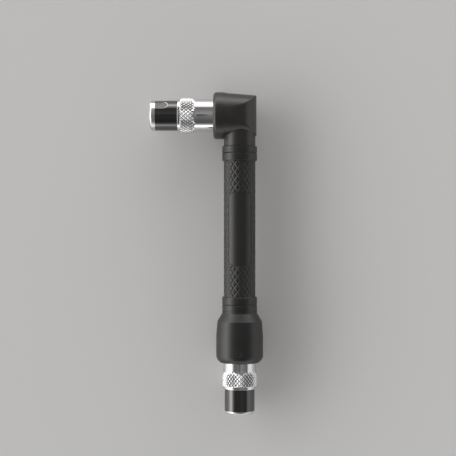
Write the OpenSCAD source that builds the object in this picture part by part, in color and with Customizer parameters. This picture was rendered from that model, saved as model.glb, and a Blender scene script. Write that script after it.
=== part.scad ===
// Offset screwdriver: an elbow-headed handle with a quick-release bit holder at each end.
// Millimetres. The handle lies along Y with the head at +Y, the head's nose points to -X,
// and the tool lies on its side on the plane z = 0.

/* [Elbow housing] */
// Distance from the handle axis to the bottom of the head's pocket
seat_reach = 4.5; // [4.3:0.1:6]
// Radius of the thick rim round the head's mouth
rim_r = 7.5; // [7.2:0.1:8.5]
// Length of the rim along the head axis
rim_l = 4.2; // [3:0.1:4.6]
// Length over which the rim runs down to the shell
rim_ramp_l = 0.9; // [0.5:0.1:1.5]
// Rounding of the rim's front edge
rim_round = 0.7; // [0.2:0.1:0.8]
// Radius of the shell just behind the rim
shell_r = 7.25; // [6.9:0.05:7.4]
// Radius that the shell has tapered to at its closed end
shell_end_r = 6.45; // [6:0.05:6.6]
// Radius of the upright column that closes the elbow
column_r = 6.4; // [5.9:0.1:6.4]
// How far the column's back reaches past the handle axis
column_reach = 5.4; // [5:0.05:5.6]
// Length over which the column's sides run out into the shell
blend_l = 2.25; // [1.5:0.05:2.6]
// Radius of the neck below the elbow
neck_r = 5.05; // [4.9:0.05:5.1]
// Distance from the head axis to the neck's lower end
neck_l = 9.9; // [9:0.05:12]

/* [Handle] */
// Radius of the knurled grip, over its knurl
grip_r = 5.05; // [4.8:0.05:5.4]
// Length of the grip between its two rings
grip_l = 43.4; // [30:0.05:70]
// Radius of the two rings at the grip's ends
ring_r = 5.58; // [5.4:0.01:6]
// Length of each ring
ring_l = 4.6; // [3.5:0.1:6]
// Width of the groove turned in each ring
groove_w = 0.36; // [0.2:0.02:0.6]
// Depth of the groove turned in each ring
groove_d = 0.2; // [0.1:0.02:0.4]
// Distance from the grip to the middle of each ring's groove
groove_at = 2.5; // [1.5:0.1:3]
// Radius of the grip's spigots inside the rings
spigot_r = 4.2; // [3.8:0.05:4.6]
// Width across the flats of the steel core rod
rod_af = 5; // [4:0.1:5.2]
// Length of the core rod that is held in the tail's shank
rod_grip_l = 4.9; // [3.5:0.1:5]

/* [Tail boot] */
// Largest radius of the boot
boot_r = 7.5; // [7.3:0.1:8.5]
// Length of the boot's straight top, as wide as the ring above it
boot_collar_l = 0.5; // [0.4:0.1:1.2]
// Radius where the boot's flare ends
flare_r = 7.15; // [6.5:0.05:7.2]
// Length of the boot's flare
flare_l = 2.7; // [2:0.1:4]
// Length over which the boot swells from the flare to its largest radius
swell_l = 4.5; // [3:0.1:6]
// Length of the boot above the barrel's shank
boot_root_l = 5.6; // [4:0.1:12]
// Length over which the boot rounds in to its mouth
draw_l = 2.4; // [1.5:0.1:2.6]
// Width of the boot's flat lip round its mouth
boot_lip_w = 0.2; // [0.1:0.05:0.4]

/* [Bit holder] */
// Width across the flats of the hex socket, for 6.35 mm bits
socket_af = 6.4; // [6.36:0.01:6.5]
// Depth of the hex socket
socket_l = 13.5; // [12.5:0.1:13.7]
// How far the round lead-in at the socket's mouth clears the hexagon's corners
lead_gap = 0.055; // [0.005:0.01:0.2]
// Depth of the round lead-in
lead_l = 1.2; // [0.8:0.1:2]
// Radius of the barrel
barrel_r = 4.8; // [4.7:0.05:4.9]
// Rounding of the barrel's nose
nose_round = 0.9; // [0.5:0.1:1]
// How much smaller in radius the barrel's shank is, behind its socket
shank_step = 0.85; // [0.8:0.05:1]
// Length of the full-size part of the barrel inside the sleeve
barrel_in_l = 6.3; // [6.1:0.1:6.6]
// Length of the barrel behind the sleeve's front
barrel_back_l = 19.1; // [18.3:0.1:19.2]
// Width of the slot milled in the barrel's nose
slot_w = 2.6; // [1.5:0.1:3]
// Length of the slot milled in the barrel's nose
slot_l = 6; // [4:0.1:7]
// Depth of the slot milled in the barrel's nose
slot_d = 0.35; // [0.2:0.05:0.5]
// How far round the barrel the head's slot lies from the top
head_slot_turn = 44; // [0:1:60]
// How far round the barrel the tail's slot lies from the top
tail_slot_turn = 157; // [120:1:180]
// Barrel showing in front of the head's sleeve
head_nose_l = 8.9; // [8.7:0.1:9.1]
// Barrel showing in front of the tail's sleeve
tail_nose_l = 8; // [7.9:0.1:8.4]
// Length of the sleeve that lies inside the head's mouth
head_sleeve_in = 1; // [0.9:0.1:1.4]
// Length of the sleeve that lies inside the tail's mouth
tail_sleeve_in = 4.1; // [3.5:0.1:4.3]

/* [Quick release] */
// Wall of the sleeve's plain collar
collar_wall = 0.45; // [0.35:0.05:0.55]
// How far the knurled band stands proud of the collar, over its knurl
knurl_rise = 0.4; // [0.3:0.05:0.7]
// Length of the knurled band
knurl_l = 3.1; // [2.5:0.1:3.4]
// Length of the sleeve's lip in front of the knurl
lip_l = 0.8; // [0.8:0.1:1.2]
// How far the sleeve's lip stands proud of the collar
lip_rise = 0.05; // [0:0.05:0.2]
// Length over which the knurled band runs down to the collar
run_down_l = 2.3; // [1.5:0.1:2.6]
// Length of the whole sleeve
sleeve_l = 12.4; // [12:0.1:12.8]
// How far the sleeve pulls back to release the bit
travel = 2.2; // [1.8:0.1:2.2]
// How far the locking ball reaches into the socket's corner
ball_reach = 0.295; // [0.25:0.005:0.3]
// How far the locking ball moves out
ball_lift = 0.3; // [0.28:0.01:0.3]
// Wire diameter of the return spring
wire_d = 0.55; // [0.4:0.05:0.55]
// Turns of the return spring
spring_turns = 5; // [4:1:5]
// Thickness of the washer behind the spring
washer_t = 0.5; // [0.3:0.1:0.6]
// Clearance between the washer's rim and the sleeve's bore
washer_gap = 0.25; // [0.2:0.05:0.35]
// Thickness of the retaining ring
clip_t = 0.6; // [0.4:0.1:0.7]
// Depth of the retaining ring's groove in the shank
clip_groove_d = 0.45; // [0.3:0.05:0.5]
// How far the retaining ring stands out of its groove
clip_out = 0.55; // [0.4:0.05:0.65]
// Radius of the magnet at the bottom of the socket
magnet_r = 2.5; // [2:0.1:2.6]
// Thickness of the magnet
magnet_t = 2; // [1:0.1:2]
// Radius of the cross pins
pin_r = 0.8; // [0.6:0.05:1]

/* [Fits] */
// Clearance of pieces that slide or turn in each other
run_gap = 0.05; // [0.03:0.01:0.08]
// Clearance of pieces that are fixed in each other
seat_gap = 0.05; // [0.02:0.01:0.08]
// Clearance between the sleeve and the mouth that it slides into
mouth_gap = 0.3; // [0.2:0.05:0.4]
// Room left behind the sleeve when it is pulled back
back_gap = 0.7; // [0.5:0.1:0.9]
// Room left behind the retaining ring
clip_gap = 1.05; // [0.8:0.05:1.2]

/* [Hidden] */
$fn = 64;
body_black = "#2b2a2b";
oxide_black = "#1d1c1e";
chrome_grey = "#d6d7da";
steel_grey = "#9a9c9f";
// Overrun of every cut past the face that it opens
cut = 0.5;
// Sides of a hexagon
hex_sides = 6;

// Radii from the hex socket outwards
socket_corner_r = hex_corner(socket_af);
lead_r = socket_corner_r + lead_gap;
shank_r = barrel_r - shank_step;
sleeve_bore_r = barrel_r + run_gap;
collar_r = sleeve_bore_r + collar_wall;
knurl_r = collar_r + knurl_rise;
lip_r = collar_r + lip_rise;
pocket_r = collar_r + mouth_gap;
mouth_chamfer = 0.3;
mouth_r = pocket_r + mouth_chamfer;

// The elbow's inside
block_wall = 0.8;
block_back = 1.5;
block_end_gap = 0.15;
rod_end_gap = 0.1;
shank_end_gap = 0.1;
pocket_l = sleeve_l + travel + back_gap;
// Length of the barrel's shank that is held behind the pocket
shank_grip_l = barrel_back_l - pocket_l;
head_front = seat_reach + pocket_l;
mouth_reach = head_front + head_sleeve_in - sleeve_l;
head_seat = seat_reach;
head_shank_end = head_front - barrel_back_l;
block_r = shank_r + block_wall;
block_hole_end = head_shank_end - shank_end_gap;
leg_r = block_r - block_wall - seat_gap;
leg_end = neck_l - block_end_gap;
rod_top_gap = 0.65;
rod_top = shank_r + rod_top_gap;
rim_edge_round = min(rim_round, (rim_r - mouth_r) / 2);
column_at = column_reach - column_r;
// How far outside the shell the column's flat sides start
blend_rise = 0.03;

// The handle's places, measured down from the head axis
grip_top = neck_l + ring_l;
grip_end = grip_top + grip_l;
boot_top = grip_end + ring_l;
tail_shank_end = boot_top + boot_root_l;
tail_seat = tail_shank_end + shank_grip_l;
tail_front = tail_seat + pocket_l;
tail_mouth = tail_front + tail_sleeve_in - sleeve_l;
rod_bottom = tail_shank_end + rod_grip_l;
rod_corner_r = hex_corner(rod_af);
boot_mouth_r = mouth_r + boot_lip_w;
boot_drop = boot_r - boot_mouth_r;
boot_round = (draw_l * draw_l + boot_drop * boot_drop) / (2 * boot_drop);
ring_edge = 0.15;

// The holder's insides, measured back from the sleeve's front
recess_front = 0.9;
recess_l = 0.6;
recess_r = sleeve_bore_r + ball_lift;
ball_at = recess_front + recess_l + travel;
flange_gap = 0.1;
flange_t = 0.8;
flange_front = barrel_in_l + flange_gap;
flange_back = flange_front + flange_t;
spring_front = flange_back + run_gap;
clip_front = pocket_l - clip_gap - clip_t;
washer_front = clip_front - run_gap - washer_t;
spring_l = washer_front - run_gap - spring_front;
clip_neck_r = shank_r - clip_groove_d;
clip_r = shank_r + clip_out;
clip_open_w = 2.4;
washer_r = sleeve_bore_r - washer_gap;
ball_r = (sleeve_bore_r - run_gap - socket_corner_r + ball_reach) / 2;
ball_seat_l = 0.045;
ball_seat_r = socket_corner_r + ball_seat_l;
ball_seat_drop = ball_r - ball_reach - ball_seat_l;
ball_window_gap = 0.02;
ball_window_r = sqrt(ball_r * ball_r - ball_seat_drop * ball_seat_drop) + ball_window_gap;
ball_centre_r = sleeve_bore_r - ball_r - run_gap;
spring_r = (shank_r + sleeve_bore_r) / 2;
lip_chamfer = 0.2;
sleeve_chamfer = 0.15;
pin_inset = 0.15;
head_pin_at = (head_seat + head_shank_end) / 2;
tail_pin_at = tail_shank_end + rod_grip_l / 2;

// Rings and sides of the spring's wire in each turn
spring_steps = 16;
wire_sides = 6;

// Shift from the elbow to the middle of the tool's footprint
head_tip = head_front + head_nose_l;
tail_tip = tail_front + tail_nose_l;
shift = [(head_tip - boot_r) / 2, (tail_tip - rim_r) / 2, max(rim_r, boot_r)];

function hex_corner(across_flats) = across_flats / 2 / cos(180 / hex_sides);

// Points of an arc about a centre, from one angle to another
function arc(centre, radius, from, to, steps = 8) =
    [for (i = [0:steps]) let (a = from + (to - from) * i / steps) centre + radius * [cos(a), sin(a)]];

// Radius of the tapered shell at a place along the head axis, counted away from the mouth
function shell_at(x) =
    shell_r + (shell_end_r - shell_r) * (x + mouth_reach - rim_l) / (column_reach + mouth_reach - rim_l);

// The tool's own frame, with the elbow at the origin
module on_tool() {
    translate(shift) children();
}

// A holder's frame: z = 0 at the sleeve's front, +Z out of the socket, +X upwards
module at_head() {
    on_tool() translate([-head_front, 0, 0]) rotate([0, -90, 0]) children();
}

module at_tail() {
    on_tool() translate([0, -tail_front, 0]) rotate([90, 0, 0]) rotate([0, 0, 90]) children();
}

// A solid turned about the handle axis, from an outline of radius and distance below the head axis
module handle_turned(outline) {
    rotate([90, 0, 0]) rotate_extrude() polygon(outline);
}

// A solid turned about the head axis, from an outline of radius and distance towards the closed end
module head_turned(outline) {
    rotate([0, 90, 0]) rotate_extrude() polygon(outline);
}

module hex_bar(across_flats, length) {
    cylinder(r = hex_corner(across_flats), h = length, $fn = hex_sides);
}

module tube(outer, inner, length) {
    difference() {
        cylinder(r = outer, h = length);
        translate([0, 0, -cut]) cylinder(r = inner, h = length + 2 * cut);
    }
}

// Elbow housing

// The shell as turned on the head axis, before the column closes it
module shell_turned() {
    rim_end = rim_l - mouth_reach;
    head_turned(concat(
        [[0, -mouth_reach]],
        arc([rim_r - rim_edge_round, rim_edge_round - mouth_reach], rim_edge_round, -90, 0),
        [
            [rim_r, rim_end - rim_ramp_l],
            [shell_at(rim_end), rim_end],
            [shell_at(column_reach), column_reach],
            [0, column_reach],
        ]
    ));
}

// The upright outline of the elbow: a round back whose sides run out into the shell
module column_outline() {
    run_out = column_at - blend_l;
    half = shell_at(run_out) + blend_rise;
    from_centre = sqrt(blend_l * blend_l + half * half);
    touch = atan2(half, -blend_l) - acos(column_r / from_centre);
    circle(r = column_r, $fn = 2 * $fn);
    for (side = [-1, 1])
        polygon([
            [0, 0],
            [column_r * cos(touch), side * column_r * sin(touch)],
            [-blend_l, side * half],
            [-blend_l, 0],
        ]);
    translate([-mouth_reach - column_at - cut, -rim_r - cut])
        square([mouth_reach + run_out + cut, 2 * (rim_r + cut)]);
}

module elbow_form() {
    intersection() {
        shell_turned();
        translate([column_at, rim_r + cut, 0])
            rotate([90, 0, 0]) linear_extrude(2 * (rim_r + cut)) column_outline();
    }
    handle_turned([[0, 0], [neck_r, 0], [neck_r, neck_l], [0, neck_l]]);
}

module head_housing() {
    color(body_black) on_tool() difference() {
        elbow_form();
        head_turned([
            [0, -mouth_reach - cut],
            [mouth_r + cut, -mouth_reach - cut],
            [pocket_r, mouth_chamfer - mouth_reach],
            [pocket_r, -head_seat],
            [block_r + seat_gap, -head_seat],
            [block_r + seat_gap, block_back - block_hole_end + seat_gap],
            [0, block_back - block_hole_end + seat_gap],
        ]);
        handle_turned([[0, 0], [leg_r + seat_gap, 0], [leg_r + seat_gap, neck_l + cut], [0, neck_l + cut]]);
    }
}

module head_core_block() {
    color(steel_grey) on_tool() difference() {
        union() {
            head_turned([
                [0, -head_seat],
                [block_r, -head_seat],
                [block_r, block_back - block_hole_end],
                [0, block_back - block_hole_end],
            ]);
            handle_turned([[0, 0], [leg_r, 0], [leg_r, leg_end], [0, leg_end]]);
        }
        head_turned([
            [0, -head_seat - cut],
            [shank_r + seat_gap, -head_seat - cut],
            [shank_r + seat_gap, -block_hole_end],
            [0, -block_hole_end],
        ]);
        translate([0, -rod_top + rod_end_gap, 0])
            rotate([90, 0, 0]) hex_bar(rod_af + 2 * seat_gap, leg_end - rod_top + rod_end_gap + cut);
        translate([-head_pin_at, 0, -block_r - cut]) cylinder(r = pin_r + seat_gap, h = 2 * (block_r + cut));
    }
}

module head_cross_pin() {
    half = block_r - pin_inset;
    color(steel_grey) on_tool() translate([-head_pin_at, 0, -half]) cylinder(r = pin_r, h = 2 * half);
}

// Handle

// One ring, with its grip end at zero and its groove turned in
module grip_ring() {
    low = groove_at - groove_w / 2;
    high = groove_at + groove_w / 2;
    rotate_extrude() polygon([
        [spigot_r + seat_gap, 0],
        [ring_r - ring_edge, 0],
        [ring_r, ring_edge],
        [ring_r, low],
        [ring_r - groove_d, groove_at],
        [ring_r, high],
        [ring_r, ring_l],
        [spigot_r + seat_gap, ring_l],
    ]);
}

module upper_ring() {
    color(body_black) on_tool() translate([0, -grip_top, 0]) rotate([-90, 0, 0]) grip_ring();
}

module lower_ring() {
    color(body_black) on_tool() translate([0, -grip_end, 0]) rotate([90, 0, 0]) grip_ring();
}

module grip_sleeve() {
    color(body_black) on_tool() difference() {
        handle_turned([
            [0, neck_l],
            [spigot_r, neck_l],
            [spigot_r, grip_top],
            [grip_r, grip_top],
            [grip_r, grip_end],
            [spigot_r, grip_end],
            [spigot_r, boot_top],
            [0, boot_top],
        ]);
        translate([0, -neck_l + cut, 0])
            rotate([90, 0, 0]) hex_bar(rod_af + 2 * seat_gap, boot_top - neck_l + 2 * cut);
    }
}

module core_rod() {
    color(steel_grey) on_tool() difference() {
        translate([0, -rod_top, 0]) rotate([90, 0, 0]) hex_bar(rod_af, rod_bottom - rod_top);
        translate([0, -tail_pin_at, -rod_af]) cylinder(r = pin_r + seat_gap, h = 2 * rod_af);
    }
}

// Tail boot

module tail_boot() {
    collar_end = boot_top + boot_collar_l;
    flare_end = collar_end + flare_l;
    draw_turn = atan2(draw_l, boot_round - boot_drop);
    color(body_black) on_tool() handle_turned(concat(
        [
            [rod_corner_r + seat_gap, boot_top],
            [ring_r, boot_top],
            [ring_r, collar_end],
            [flare_r, flare_end],
            [boot_r, flare_end + swell_l],
        ],
        arc([boot_r - boot_round, tail_mouth - draw_l], boot_round, 0, draw_turn),
        [
            [mouth_r, tail_mouth],
            [pocket_r, tail_mouth - mouth_chamfer],
            [pocket_r, tail_seat],
            [shank_r + seat_gap, tail_seat],
            [shank_r + seat_gap, tail_shank_end - shank_end_gap],
            [rod_corner_r + seat_gap, tail_shank_end - shank_end_gap],
        ]
    ));
}

module tail_cross_pin() {
    half = shank_r - pin_inset;
    color(steel_grey) on_tool() translate([0, -tail_pin_at, -half]) cylinder(r = pin_r, h = 2 * half);
}

// Bit holder

// The barrel as turned, before its socket and holes are cut
module barrel_turned(nose_l) {
    rotate_extrude() polygon(concat(
        [[0, nose_l]],
        arc([barrel_r - nose_round, nose_l - nose_round], nose_round, 90, 0),
        [
            [barrel_r, -barrel_in_l],
            [shank_r, -barrel_in_l],
            [shank_r, -clip_front + run_gap],
            [clip_neck_r, -clip_front + run_gap],
            [clip_neck_r, -clip_front - clip_t - run_gap],
            [shank_r, -clip_front - clip_t - run_gap],
            [shank_r, -barrel_back_l],
            [0, -barrel_back_l],
        ]
    ));
}

// The slot milled in the nose, with a round end and a flat floor
module nose_slot(nose_l, turn) {
    rotate([0, 0, turn]) translate([barrel_r - slot_d, 0, nose_l - slot_l + slot_w / 2]) rotate([0, 90, 0]) {
        cylinder(r = slot_w / 2, h = slot_d + cut);
        translate([-slot_l, -slot_w / 2, 0]) cube([slot_l, slot_w, slot_d + cut]);
    }
}

module socket_cut(nose_l) {
    translate([0, 0, nose_l - socket_l]) hex_bar(socket_af, socket_l + cut);
    translate([0, 0, nose_l - lead_l]) cylinder(r = lead_r, h = lead_l + cut);
    translate([0, 0, nose_l - socket_l - magnet_t - seat_gap])
        cylinder(r = magnet_r + seat_gap, h = magnet_t + seat_gap + cut);
}

// The stepped hole that guides the locking ball and keeps it from falling into the socket
module ball_hole() {
    translate([0, 0, -ball_at]) rotate([0, -90, 0]) {
        cylinder(r = ball_window_r, h = barrel_r);
        translate([0, 0, ball_seat_r]) cylinder(r = ball_r + run_gap, h = barrel_r);
    }
}

module barrel(nose_l, slot_turn) {
    color(oxide_black) difference() {
        barrel_turned(nose_l);
        socket_cut(nose_l);
        nose_slot(nose_l, slot_turn);
        ball_hole();
        children();
    }
}

// The cross pin's hole, at a distance behind the sleeve's front
module shank_pin_hole(back) {
    translate([-shank_r - cut, 0, -back]) rotate([0, 90, 0]) cylinder(r = pin_r + seat_gap, h = 2 * (shank_r + cut));
}

module magnet(nose_l) {
    color(steel_grey) translate([0, 0, nose_l - socket_l - magnet_t]) cylinder(r = magnet_r, h = magnet_t);
}

module ball() {
    color(steel_grey) translate([-ball_centre_r, 0, -ball_at]) sphere(r = ball_r);
}

module sleeve() {
    knurl_end = lip_l + knurl_l;
    color(chrome_grey) rotate_extrude() polygon([
        [sleeve_bore_r, 0],
        [lip_r - lip_chamfer, 0],
        [lip_r, -lip_chamfer],
        [lip_r, lip_chamfer - lip_l],
        [knurl_r, -lip_l],
        [knurl_r, -knurl_end],
        [collar_r, -knurl_end - run_down_l],
        [collar_r, sleeve_chamfer - sleeve_l],
        [collar_r - sleeve_chamfer, -sleeve_l],
        [sleeve_bore_r, -sleeve_l],
        [sleeve_bore_r, -flange_back],
        [shank_r + run_gap, -flange_back],
        [shank_r + run_gap, -flange_front],
        [sleeve_bore_r, -flange_front],
        [sleeve_bore_r, -ball_at],
        [recess_r, travel - ball_at],
        [recess_r, -recess_front],
        [sleeve_bore_r, -recess_front],
    ]);
}

// Centre line of the spring's wire, from its front end back
spring_points = [
    for (i = [0:spring_turns * spring_steps])
    let (a = 360 * i / spring_steps, run = spring_l - wire_d)
    [spring_r * cos(a), spring_r * sin(a), -spring_front - wire_d / 2 - run * i / (spring_turns * spring_steps)]
];

// Least distance between the wire's surface and itself, at least half a turn on
spring_gap = min([
    for (i = [0:len(spring_points) - 1], j = [i + spring_steps / 2:1:len(spring_points) - 1])
    norm(spring_points[i] - spring_points[j]) - wire_d
]);

// The wire's own section at a point of the centre line, square to the coil
function wire_ring(i) =
    let (a = 360 * i / spring_steps, out = [cos(a), sin(a), 0], centre = spring_points[i])
    [for (k = [0:wire_sides - 1]) let (b = 360 * k / wire_sides)
        centre + wire_d / 2 * (cos(b) * out + [0, 0, sin(b)])];

module spring() {
    last = len(spring_points) - 1;
    corners = [for (i = [0:last]) each wire_ring(i)];
    sides = [
        for (i = [0:last - 1], k = [0:wire_sides - 1])
        let (a = i * wire_sides + k, b = i * wire_sides + (k + 1) % wire_sides)
        each [[a, b, a + wire_sides], [b, b + wire_sides, a + wire_sides]]
    ];
    front = [for (k = [1:wire_sides - 2]) [0, k + 1, k]];
    back = [for (k = [1:wire_sides - 2]) [last * wire_sides, last * wire_sides + k, last * wire_sides + k + 1]];
    color(steel_grey) polyhedron(corners, concat(sides, front, back));
}

module spring_washer() {
    color(steel_grey) translate([0, 0, -washer_front - washer_t]) tube(washer_r, shank_r + seat_gap, washer_t);
}

// A split ring in the shank's groove, open on the side away from the ball
module retaining_ring() {
    color(steel_grey) translate([0, 0, -clip_front - clip_t]) difference() {
        tube(clip_r, clip_neck_r + seat_gap, clip_t);
        translate([0, -clip_open_w / 2, -cut]) cube([clip_r + cut, clip_open_w, clip_t + 2 * cut]);
    }
}

// Head holder

module head_barrel() {
    at_head() barrel(head_nose_l, head_slot_turn) shank_pin_hole(head_front - head_pin_at);
}

module head_magnet() {
    at_head() magnet(head_nose_l);
}

module head_ball() {
    at_head() ball();
}

module head_sleeve() {
    at_head() sleeve();
}

module head_spring() {
    at_head() spring();
}

module head_spring_washer() {
    at_head() spring_washer();
}

module head_retaining_ring() {
    at_head() retaining_ring();
}

// Tail holder

module tail_barrel() {
    rod_hole_l = rod_grip_l + rod_end_gap;
    at_tail() barrel(tail_nose_l, tail_slot_turn) {
        shank_pin_hole(tail_front - tail_pin_at);
        translate([0, 0, -barrel_back_l - cut])
            rotate([0, 0, 90]) hex_bar(rod_af + 2 * seat_gap, rod_hole_l + cut);
    }
}

module tail_magnet() {
    at_tail() magnet(tail_nose_l);
}

module tail_ball() {
    at_tail() ball();
}

module tail_sleeve() {
    at_tail() sleeve();
}

module tail_spring() {
    at_tail() spring();
}

module tail_spring_washer() {
    at_tail() spring_washer();
}

module tail_retaining_ring() {
    at_tail() retaining_ring();
}

echo(spring_gap = spring_gap);

head_housing();
head_core_block();
head_cross_pin();
head_barrel();
head_magnet();
head_ball();
head_sleeve();
head_spring();
head_spring_washer();
head_retaining_ring();
upper_ring();
grip_sleeve();
lower_ring();
core_rod();
tail_boot();
tail_cross_pin();
tail_barrel();
tail_magnet();
tail_ball();
tail_sleeve();
tail_spring();
tail_spring_washer();
tail_retaining_ring();
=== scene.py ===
"""Offset screwdriver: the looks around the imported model.

Blender works in metres. The shapes here are worked out in millimetres in each piece's own frame,
and put into the model's frame at the end. A holder's frame has z = 0 at the sleeve's front, +Z out
of the socket and +X upwards. The elbow's frame has its origin where the two axes cross.
"""
import math

import bmesh
import bpy
import numpy as np
from mathutils import Matrix, Vector

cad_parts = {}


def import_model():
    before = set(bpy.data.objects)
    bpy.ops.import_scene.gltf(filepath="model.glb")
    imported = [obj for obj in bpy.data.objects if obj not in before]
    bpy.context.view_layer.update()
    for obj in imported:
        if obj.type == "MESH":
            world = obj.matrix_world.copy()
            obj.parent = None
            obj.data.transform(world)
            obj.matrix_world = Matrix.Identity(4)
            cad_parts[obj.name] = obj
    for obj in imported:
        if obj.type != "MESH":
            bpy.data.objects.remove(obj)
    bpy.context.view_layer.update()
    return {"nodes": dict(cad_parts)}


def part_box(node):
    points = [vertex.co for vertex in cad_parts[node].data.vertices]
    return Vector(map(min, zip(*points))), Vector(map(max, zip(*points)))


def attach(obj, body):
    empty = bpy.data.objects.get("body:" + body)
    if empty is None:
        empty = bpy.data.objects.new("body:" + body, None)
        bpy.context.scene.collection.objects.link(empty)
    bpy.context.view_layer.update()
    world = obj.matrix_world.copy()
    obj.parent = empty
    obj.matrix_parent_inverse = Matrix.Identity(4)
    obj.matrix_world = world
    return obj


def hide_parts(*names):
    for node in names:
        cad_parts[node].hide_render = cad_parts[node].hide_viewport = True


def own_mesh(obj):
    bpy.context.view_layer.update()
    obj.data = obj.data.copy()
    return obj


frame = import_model()

MM = 0.001
TURN = 2 * math.pi
# Points of a mesh that lie closer than this, in metres, are one point
MERGE_L = 1e-8

# Places taken from the frame


def middle(node):
    low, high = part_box(node)
    return (low + high) / 2


HEAD_AXIS = middle("head_barrel")
TAIL_AXIS = middle("tail_barrel")
ELBOW = Vector((TAIL_AXIS.x, HEAD_AXIS.y, TAIL_AXIS.z))
HEAD_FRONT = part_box("head_sleeve")[0].x
TAIL_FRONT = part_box("tail_sleeve")[0].y
HEAD_NOSE_L = (HEAD_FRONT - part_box("head_barrel")[0].x) / MM
TAIL_NOSE_L = (TAIL_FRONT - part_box("tail_barrel")[0].y) / MM


def placed(origin, x_axis, y_axis, z_axis):
    """The matrix that takes millimetres in a piece's frame to metres in the model's frame."""
    turn = Matrix((x_axis, y_axis, z_axis)).transposed().to_4x4()
    return Matrix.Translation(origin) @ turn @ Matrix.Scale(MM, 4)


HEAD = placed((HEAD_FRONT, ELBOW.y, ELBOW.z), (0, 0, 1), (0, 1, 0), (-1, 0, 0))
TAIL = placed((ELBOW.x, TAIL_FRONT, ELBOW.z), (0, 0, 1), (-1, 0, 0), (0, -1, 0))
# Round the handle axis, counted down from the head axis
HANDLE = placed(ELBOW, (1, 0, 0), (0, 0, 1), (0, -1, 0))
ELBOW_FRAME = placed(ELBOW, (1, 0, 0), (0, 1, 0), (0, 0, 1))

# Shape helpers


def smoothstep(low, high, x):
    t = np.clip((x - low) / (high - low), 0, 1)
    return t * t * (3 - 2 * t)


def smooth_max(a, b, width):
    h = np.clip(0.5 + 0.5 * (a - b) / width, 0, 1)
    return b + (a - b) * h + width * h * (1 - h)


def smooth_min(a, b, width):
    return -smooth_max(-a, -b, width)


def rounded(corners, steps=5, closed=True):
    """An outline through (along, radius, rounding) corners, each turned by its rounding."""
    line = []
    count = len(corners)
    for i, (along, radius, rounding) in enumerate(corners):
        corner = np.array((along, radius), float)
        if rounding == 0 or (not closed and i in (0, count - 1)):
            line.append(corner)
            continue
        back = np.array(corners[i - 1][:2], float) - corner
        on = np.array(corners[(i + 1) % count][:2], float) - corner
        back_l, on_l = np.linalg.norm(back), np.linalg.norm(on)
        back, on = back / back_l, on / on_l
        half = math.acos(float(np.clip(back @ on, -1, 1))) / 2
        reach = min(rounding / math.tan(half), 0.49 * back_l, 0.49 * on_l)
        out = (back + on) / np.linalg.norm(back + on)
        centre = corner + out * reach / math.cos(half)
        start, end = corner + back * reach - centre, corner + on * reach - centre
        sweep = math.pi - 2 * half
        for k in range(steps + 1):
            t = k / steps
            mix = (math.sin((1 - t) * sweep) * start + math.sin(t * sweep) * end) / math.sin(sweep)
            line.append(centre + mix)
    return np.array(line)


def hex_radius(angle, across_flats, corner_at=0.0):
    """How far a hexagon reaches at an angle, with a corner at corner_at."""
    sixth = TURN / 6
    from_corner = np.mod(angle - corner_at, sixth)
    return across_flats / 2 / np.cos(from_corner - sixth / 2)


def round_points(along, radius, columns):
    """Points of rows turned round the Z axis. The radius is one number a row, or one a point."""
    angle = np.arange(columns) * TURN / columns
    radius = np.asarray(radius, float)
    if radius.ndim == 1:
        radius = np.repeat(radius[:, None], columns, 1)
    along = np.repeat(np.asarray(along, float)[:, None], columns, 1)
    return np.stack([radius * np.cos(angle), radius * np.sin(angle), along], -1)


def new_object(name, mesh):
    thing = bpy.data.objects.new(name, mesh)
    bpy.context.scene.collection.objects.link(thing)
    return thing


def tidy(mesh, sharp_deg):
    """Faces point outwards, and edges turn sharp past an angle."""
    work = bmesh.new()
    work.from_mesh(mesh)
    bmesh.ops.remove_doubles(work, verts=work.verts, dist=MERGE_L)
    bmesh.ops.recalc_face_normals(work, faces=work.faces)
    work.to_mesh(mesh)
    work.free()
    mesh.shade_smooth()
    mesh.set_sharp_from_angle(angle=math.radians(sharp_deg))


def skin(
    name, points, place, materials, row_material=None, closed=True, values=None, sharp_deg=35,
    creased=None,
):
    """A closed mesh over rows of points that run round an axis.

    The rows join up when closed, and end in flat caps otherwise. row_material gives the material's
    number for the faces after each row, values are named numbers for each point, and creased rows
    are split along the diagonal that lies flattest, so that grooves stay straight."""
    rows, columns = points.shape[:2]
    index = np.arange(rows * columns).reshape(rows, columns)
    last = rows if closed else rows - 1
    faces, numbers = [], []
    for i in range(last):
        a, b = index[i], index[(i + 1) % rows]
        a_next, b_next = np.roll(a, -1), np.roll(b, -1)
        number = 0 if row_material is None else row_material[i]
        if creased is None or not creased[i]:
            faces += np.stack([a, a_next, b_next, b], 1).tolist()
            numbers += [number] * columns
            continue
        height = values["height"].ravel()
        one_way = np.abs(height[a] - height[b_next]) <= np.abs(height[a_next] - height[b])
        halves = (((a, a_next, b_next), (a, a_next, b)), ((a, b_next, b), (a_next, b_next, b)))
        for this, other in halves:
            faces += np.where(one_way[:, None], np.stack(this, 1), np.stack(other, 1)).tolist()
        numbers += [number] * (2 * columns)
    if not closed:
        faces += [index[0].tolist(), index[-1].tolist()]
        numbers += (0, 0) if row_material is None else (row_material[0], row_material[-1])
    mesh = bpy.data.meshes.new(name)
    mesh.from_pydata(points.reshape(-1, 3).tolist(), [], faces)
    mesh.polygons.foreach_set("material_index", np.array(numbers, np.int32))
    for key, numbers_there in (values or {}).items():
        layer = mesh.attributes.new(key, "FLOAT", "POINT")
        layer.data.foreach_set("value", numbers_there.ravel().astype(np.float32))
    mesh.transform(place)
    tidy(mesh, sharp_deg)
    for material in materials:
        mesh.materials.append(material)
    return new_object(name, mesh)


def fit(piece, body, slot, *nodes):
    """The piece rides on a body and stands for its CAD nodes, which it hides; the slot is not used.
    """
    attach(piece, body)
    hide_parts(*nodes)
    return piece


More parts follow.
